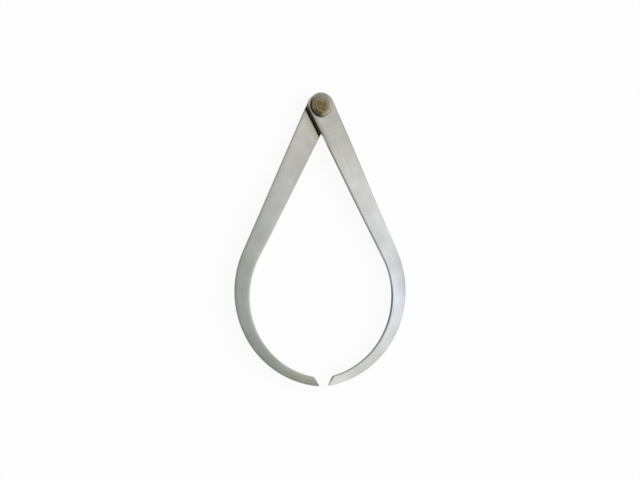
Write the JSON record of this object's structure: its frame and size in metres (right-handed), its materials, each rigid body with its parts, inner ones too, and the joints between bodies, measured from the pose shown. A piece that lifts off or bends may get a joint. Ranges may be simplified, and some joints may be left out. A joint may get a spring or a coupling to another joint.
{
  "type": "outside caliper",
  "caption": "Firm-joint outside caliper: bowed flat steel legs on a brass rivet and washers, lying flat, points almost closed.",
  "frame": {"origin": "centre of the rivet's flat rear end, on the joint's axis, which the joint rests on", "axes": "+Z along the joint's axis, out of the front face; -Y from the joint towards the measuring points; the front leg on the +X side"},
  "size_m": [0.127, 0.2094, 0.012],
  "materials": {
    "leg_steel": "worn satin plate, a little mottled",
    "rivet_brass": "dull and tarnished",
    "washer_brass": "dull and tarnished",
    "liner_steel": "dark oiled"
  },
  "bodies": {
    "rear_half": {"rear_leg": "leg_steel", "rivet": "rivet_brass", "front_washer": "washer_brass", "rear_washer": "washer_brass", "friction_washer": "liner_steel"},
    "front_half": {"front_leg": "leg_steel"}
  },
  "joints": [
    {"name": "leg_pivot", "type": "hinge", "parent": "rear_half", "child": "front_half", "pos_m": [0, 0, 0.006], "axis": [0, 0, 1], "range_deg": [-1.85, 270]}
  ]
}
